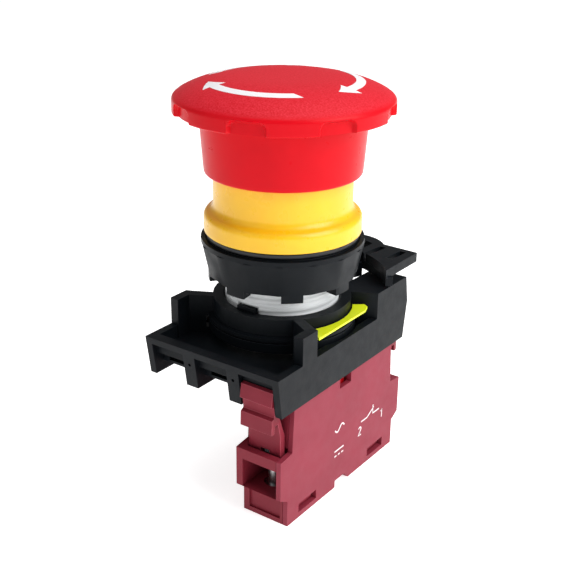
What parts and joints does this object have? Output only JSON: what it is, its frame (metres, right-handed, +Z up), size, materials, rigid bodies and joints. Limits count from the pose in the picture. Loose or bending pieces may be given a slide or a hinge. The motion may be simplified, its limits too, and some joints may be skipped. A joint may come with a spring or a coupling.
{
  "type": "emergency stop button",
  "caption": "Twist-release mushroom emergency stop button for a 22 mm panel hole, with collar, ring nut, latching mounting base and a clip-on normally closed contact block.",
  "frame": {"origin": "on the barrel axis, in the plane where the collar's underside meets the panel's front", "axes": "+Z up the barrel axis towards the head, -Y towards the front terminal, +X towards the fitted contact block's cover"},
  "size_m": [0.04, 0.0502, 0.078],
  "materials": {
    "red_head": "satin moulded ABS",
    "yellow_collar": "satin moulded nylon",
    "black_nylon": "fine matte moulded nylon",
    "white_barrel": "moulded nylon",
    "white_nylon": "moulded acetal",
    "lime_slide": "moulded acetal",
    "maroon_block": "moulded flame-retardant nylon",
    "red_plunger": "moulded acetal",
    "black_rubber": "moulded nitrile",
    "spring_steel": "drawn wire",
    "steel_parts": "zinc plated",
    "brass_strip": "stamped strip",
    "silver_tips": "silver rivet"
  },
  "bodies": {
    "operator_body": {"front_clamp_plate": "steel_parts", "rear_clamp_plate": "steel_parts", "collar": "yellow_collar", "stem_seal": "black_rubber", "gasket": "black_rubber", "threaded_barrel": "white_barrel", "latch_pins": "steel_parts", "latch_pin_springs": "spring_steel", "return_spring": "spring_steel", "mounting_base": "black_nylon", "block_housing": "maroon_block", "block_cover": "maroon_block", "lever_pins": "steel_parts", "lever_springs": "spring_steel", "contact_spring": "spring_steel", "front_terminal": "brass_strip", "rear_terminal": "brass_strip", "fixed_tips": "silver_tips"},
    "press_stem": {"push_stem": "white_nylon", "actuator_bar": "white_nylon", "retaining_clip": "spring_steel", "torsion_spring": "spring_steel"},
    "twist_head": {"mushroom_cap": "red_head", "cam_sleeve": "white_nylon"},
    "contact_carrier": {"plunger": "red_plunger", "contact_bridge": "brass_strip", "bridge_tips": "silver_tips"},
    "washer": {"clamp_washer": "black_nylon"},
    "nut": {"ring_nut": "black_nylon"},
    "latch": {"latch_lever": "black_nylon"},
    "slide_lock": {"locking_slide": "lime_slide"},
    "front_lever": {"front_release_lever": "maroon_block"},
    "rear_lever": {"rear_release_lever": "maroon_block"},
    "front_screw": {"front_terminal_screw": "steel_parts"},
    "rear_screw": {"rear_terminal_screw": "steel_parts"}
  },
  "joints": [
    {"name": "head_press", "type": "slide", "parent": "operator_body", "child": "press_stem", "axis": [0, 0, -1], "range_m": [0, 0.005], "stiffness_N_per_m": 2000, "springref_m": -0.004, "deforming": ["return_spring"]},
    {"name": "head_twist", "type": "hinge", "parent": "press_stem", "child": "twist_head", "pos_m": [0, 0, 0], "axis": [0, 0, -1], "range_deg": [0, 35], "stiffness_Nm_per_rad": 0.05, "springref_deg": -17.19},
    {"name": "contact_travel", "type": "slide", "parent": "operator_body", "child": "contact_carrier", "axis": [0, 0, -1], "range_m": [0, 0.005], "stiffness_N_per_m": 400, "springref_m": -0.003, "deforming": ["contact_spring"]},
    {"name": "washer_slide", "type": "slide", "parent": "operator_body", "child": "washer", "axis": [0, 0, -1], "range_m": [0, 0.00325]},
    {"name": "nut_turn", "type": "hinge", "parent": "washer", "child": "nut", "pos_m": [0, 0, 0], "axis": [0, 0, -1], "range_deg": [0, 780]},
    {"name": "latch_turn", "type": "hinge", "parent": "operator_body", "child": "latch", "pos_m": [0, 0, 0], "axis": [0, 0, 1], "range_deg": [0, 35]},
    {"name": "lock_slide", "type": "slide", "parent": "operator_body", "child": "slide_lock", "axis": [1, 0, 0], "range_m": [0, 0.001]},
    {"name": "front_lever_hinge", "type": "hinge", "parent": "operator_body", "child": "front_lever", "pos_m": [0.0101, -0.0176, -0.03595], "axis": [1, 0, 0], "range_deg": [0, 12], "stiffness_Nm_per_rad": 0.02, "springref_deg": -17.19},
    {"name": "rear_lever_hinge", "type": "hinge", "parent": "operator_body", "child": "rear_lever", "pos_m": [0.0101, 0.0176, -0.03595], "axis": [-1, 0, 0], "range_deg": [0, 12], "stiffness_Nm_per_rad": 0.02, "springref_deg": -17.19},
    {"name": "front_screw_turn", "type": "hinge", "parent": "operator_body", "child": "front_screw", "pos_m": [0.0101, -0.0158, -0.0443], "axis": [0, 0, 1], "range_deg": [0, 540]},
    {"name": "rear_screw_turn", "type": "hinge", "parent": "operator_body", "child": "rear_screw", "pos_m": [0.0101, 0.0158, -0.0443], "axis": [0, 0, 1], "range_deg": [0, 540]}
  ],
  "couplings": [
    {"joint": "contact_travel", "follows": "head_press", "ratio": 1},
    {"joint": "washer_slide", "follows": "nut_turn", "m_per_rad": 0.00023873},
    {"joint": "lock_slide", "follows": "latch_turn", "m_per_rad": 0.0016}
  ]
}
